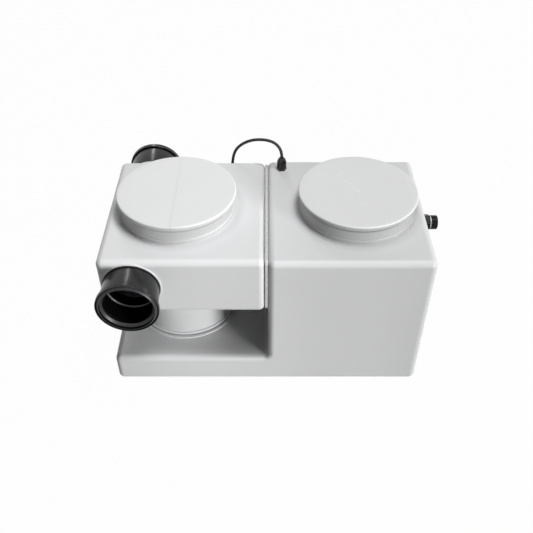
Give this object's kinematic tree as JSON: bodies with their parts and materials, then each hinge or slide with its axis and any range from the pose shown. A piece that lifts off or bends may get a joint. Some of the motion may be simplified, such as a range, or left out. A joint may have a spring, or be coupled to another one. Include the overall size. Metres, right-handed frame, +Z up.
{
  "type": "greywater filter pump",
  "caption": "Low floor-standing tank with a filter chamber on a pedestal, round lids, two large pipe sockets, a threaded outlet and a submersible pump inside.",
  "frame": {"origin": "middle of the tank's flat underside, on the floor", "axes": "+X to the threaded outlet's side, +Y to the back, +Z up"},
  "size_m": [0.76, 0.5842, 0.4586],
  "materials": {
    "moulded_grey": "fine matt texture",
    "strip_grey": "matt",
    "black_fitting": "glossy moulded",
    "black_rubber": "satin",
    "cord_black": "satin sheath",
    "dark_plastic": "matt",
    "pipe_grey": "satin",
    "light_nylon": "satin",
    "coarse_foam": "open cell foam",
    "fine_foam": "open cell foam",
    "steel": "brushed",
    "brass": "bright"
  },
  "bodies": {
    "tank": {"chamber_top": "moulded_grey", "check_valve": "pipe_grey", "cord_coil": "cord_black", "cord_tie": "cord_black", "cover_screws": "steel", "discharge_elbow": "pipe_grey", "filter_chamber": "moulded_grey", "float_bracket": "dark_plastic", "float_pin": "steel", "gland_body": "black_fitting", "gland_lock_nut": "black_fitting", "gland_nut": "black_fitting", "gland_seal": "black_rubber", "inlet_lock_nut": "black_fitting", "inlet_pipe_seal": "black_rubber", "inlet_socket": "black_fitting", "inlet_socket_ring": "black_fitting", "inlet_wall_gasket": "black_rubber", "joint_strip": "strip_grey", "motor_cover": "dark_plastic", "motor_housing": "dark_plastic", "outlet_bulkhead": "black_fitting", "outlet_elbow": "pipe_grey", "outlet_gasket": "black_rubber", "outlet_nut": "black_fitting", "outlet_ring": "light_nylon", "outlet_washer": "black_fitting", "overflow_lock_nut": "black_fitting", "overflow_pipe_seal": "black_rubber", "overflow_socket": "black_fitting", "overflow_socket_ring": "black_fitting", "overflow_wall_gasket": "black_rubber", "plug_body": "cord_black", "plug_pins": "brass", "power_cord": "cord_black", "pump_handle": "dark_plastic", "pump_lead": "cord_black", "pump_tank": "moulded_grey", "riser_pipe": "pipe_grey", "shaft_seal": "black_rubber", "suction_strainer": "dark_plastic", "tank_top": "moulded_grey", "transfer_neck": "moulded_grey", "transfer_neck_seal": "black_rubber", "upper_riser": "pipe_grey", "volute_casing": "dark_plastic"},
    "filter_lid_ring": {"filter_lid_seal": "black_rubber"},
    "filter_lid": {"filter_lid": "moulded_grey", "filter_lid_collar": "moulded_grey"},
    "pump_lid_ring": {"pump_lid_seal": "black_rubber"},
    "pump_lid": {"pump_lid": "moulded_grey", "pump_lid_collar": "moulded_grey"},
    "basket": {"filter_basket": "dark_plastic", "fine_filter_pad": "fine_foam", "coarse_filter_pad": "coarse_foam"},
    "basket_handle": {"basket_handle": "steel"},
    "impeller": {"impeller": "light_nylon", "impeller_shaft": "steel"},
    "float": {"float_switch": "dark_plastic"},
    "flap": {"valve_flap": "pipe_grey"}
  },
  "joints": [
    {"name": "filter_lid_lift", "type": "slide", "parent": "tank", "child": "filter_lid_ring", "axis": [0, 0, 1], "range_m": [0, 0.15]},
    {"name": "filter_lid_turn", "type": "hinge", "parent": "filter_lid_ring", "child": "filter_lid", "pos_m": [-0.203, 0, 0.424], "axis": [0, 0, 1], "continuous": true},
    {"name": "pump_lid_lift", "type": "slide", "parent": "tank", "child": "pump_lid_ring", "axis": [0, 0, 1], "range_m": [0, 0.15]},
    {"name": "pump_lid_turn", "type": "hinge", "parent": "pump_lid_ring", "child": "pump_lid", "pos_m": [0.206, 0, 0.424], "axis": [0, 0, 1], "continuous": true},
    {"name": "basket_lift", "type": "slide", "parent": "tank", "child": "basket", "axis": [0, 0, 1], "range_m": [0, 0.12]},
    {"name": "basket_handle_turn", "type": "hinge", "parent": "basket", "child": "basket_handle", "pos_m": [-0.203, 0, 0.2473], "axis": [1, 0, 0], "range_deg": [0, 180]},
    {"name": "impeller_spin", "type": "hinge", "parent": "tank", "child": "impeller", "pos_m": [0.19, 0.042, 0.056], "axis": [0, 0, 1], "continuous": true},
    {"name": "float_swing", "type": "hinge", "parent": "tank", "child": "float", "pos_m": [0.1, 0.042, 0.182], "axis": [0, 1, 0], "range_deg": [0, 110]},
    {"name": "flap_swing", "type": "hinge", "parent": "tank", "child": "flap", "pos_m": [0.304, 0.0175, 0.2095], "axis": [-1, 0, 0], "range_deg": [0, 65]}
  ]
}
